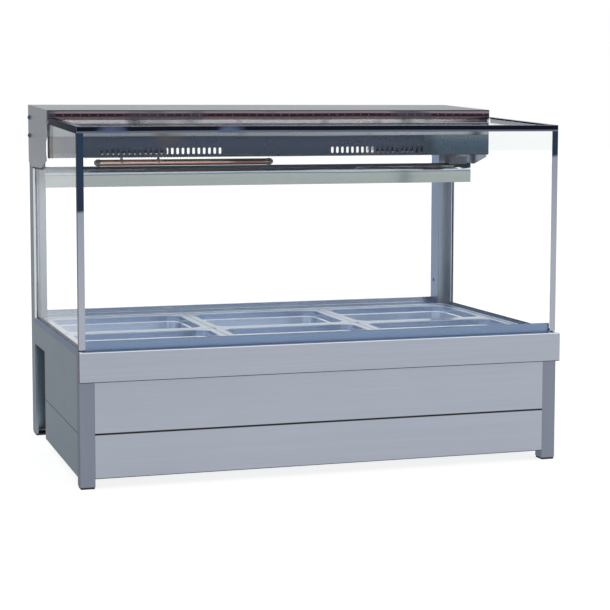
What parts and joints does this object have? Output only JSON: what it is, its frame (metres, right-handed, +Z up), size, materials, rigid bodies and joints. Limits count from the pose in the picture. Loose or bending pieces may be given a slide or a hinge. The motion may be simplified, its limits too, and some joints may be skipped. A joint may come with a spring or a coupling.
{
  "type": "hot food display case",
  "caption": "Benchtop heated food display case: steel base with a well of lift-out pans, square glass case and a rear heat-lamp canopy open to the servers' side.",
  "frame": {"origin": "middle of the footprint, on the plane of the feet", "axes": "+X to the right along the front, +Y from the customers' front to the servers' back, +Z up"},
  "size_m": [1.039, 0.63, 0.76],
  "materials": {
    "frame_steel": "fine brushed, satin",
    "foot_rubber": "matte",
    "panel_steel": "brushed along the length, satin",
    "fastener": "bright",
    "deck_steel": "satin",
    "well_aluminium": "dull mill finish",
    "insulation": "soft mineral wool",
    "element_sheath": "heat darkened",
    "pan_steel": "satin inside, brighter rim",
    "seal_rubber": "matte",
    "clear_glass": "clear, polished edges",
    "bright_trim": "bright polished",
    "canopy_steel": "satin",
    "bright_nut": "bright",
    "mirror_steel": "mirror polished",
    "reflector_aluminium": "bright",
    "lamp_glass": "copper-red quartz",
    "ceramic": "glazed ceramic",
    "black_plastic": "fine texture",
    "knob_plastic": "satin black with a pale pointer",
    "rocker_green": "translucent",
    "pilot_amber": "translucent",
    "white_plastic": "moulded"
  },
  "bodies": {
    "case": {"leg_front_left": "frame_steel", "leg_front_right": "frame_steel", "post_left": "frame_steel", "post_right": "frame_steel", "post_covers": "frame_steel", "foot_pads": "foot_rubber", "fascia_front": "panel_steel", "panel_front_upper": "panel_steel", "panel_front_lower": "panel_steel", "panel_left_upper": "panel_steel", "panel_right_upper": "panel_steel", "panels_end_lower": "panel_steel", "apron_rear": "panel_steel", "control_panel": "panel_steel", "panel_screws": "fastener", "base_plate": "panel_steel", "deck_surround": "deck_steel", "well_tank": "well_aluminium", "well_insulation": "insulation", "heating_element": "element_sheath", "pan_bars_long": "deck_steel", "pan_bars_short": "deck_steel", "glass_channels": "deck_steel", "glazing_strips": "seal_rubber", "front_upstand": "deck_steel", "glass_front": "clear_glass", "glass_left": "clear_glass", "glass_right": "clear_glass", "glass_top": "clear_glass", "corner_trims": "bright_trim", "top_trim_front": "bright_trim", "top_trims_side": "bright_trim", "rear_trims": "bright_trim", "canopy_cover": "canopy_steel", "canopy_end_left": "canopy_steel", "canopy_end_right": "canopy_steel", "canopy_nuts": "bright_nut", "lamp_panel": "mirror_steel", "lamp_end_cover": "mirror_steel", "lamp_crossbars": "panel_steel", "lamp_reflectors": "reflector_aluminium", "heat_lamp_left": "lamp_glass", "heat_lamp_right": "lamp_glass", "lamp_holders": "ceramic", "lower_rail": "mirror_steel", "rail_hangers": "panel_steel", "thermostat": "black_plastic", "switch_housings": "black_plastic", "pilot_lamp": "pilot_amber", "cable_gland": "black_plastic", "terminal_block": "white_plastic"},
    "pan_front_left": {"pan_front_left": "pan_steel"},
    "pan_front_middle": {"pan_front_middle": "pan_steel"},
    "pan_front_right": {"pan_front_right": "pan_steel"},
    "pan_rear_left": {"pan_rear_left": "pan_steel"},
    "pan_rear_middle": {"pan_rear_middle": "pan_steel"},
    "pan_rear_right": {"pan_rear_right": "pan_steel"},
    "thermostat_knob": {"thermostat_knob": "knob_plastic"},
    "rocker_base_heat": {"rocker_base_heat": "rocker_green"},
    "rocker_lamps": {"rocker_lamps": "rocker_green"}
  },
  "joints": [
    {"name": "pan_front_left_lift", "type": "slide", "parent": "case", "child": "pan_front_left", "axis": [0, 0, 1], "range_m": [0, 0.12]},
    {"name": "pan_front_middle_lift", "type": "slide", "parent": "case", "child": "pan_front_middle", "axis": [0, 0, 1], "range_m": [0, 0.12]},
    {"name": "pan_front_right_lift", "type": "slide", "parent": "case", "child": "pan_front_right", "axis": [0, 0, 1], "range_m": [0, 0.12]},
    {"name": "pan_rear_left_lift", "type": "slide", "parent": "case", "child": "pan_rear_left", "axis": [0, 0, 1], "range_m": [0, 0.12]},
    {"name": "pan_rear_middle_lift", "type": "slide", "parent": "case", "child": "pan_rear_middle", "axis": [0, 0, 1], "range_m": [0, 0.12]},
    {"name": "pan_rear_right_lift", "type": "slide", "parent": "case", "child": "pan_rear_right", "axis": [0, 0, 1], "range_m": [0, 0.12]},
    {"name": "thermostat_turn", "type": "hinge", "parent": "case", "child": "thermostat_knob", "pos_m": [0.38, 0.138, 0.112], "axis": [0, -1, 0], "range_deg": [0, 270]},
    {"name": "rocker_base_heat_tilt", "type": "hinge", "parent": "case", "child": "rocker_base_heat", "pos_m": [0.32, 0.126, 0.112], "axis": [1, 0, 0], "range_deg": [0, 20]},
    {"name": "rocker_lamps_tilt", "type": "hinge", "parent": "case", "child": "rocker_lamps", "pos_m": [0.275, 0.126, 0.112], "axis": [1, 0, 0], "range_deg": [0, 20]}
  ]
}
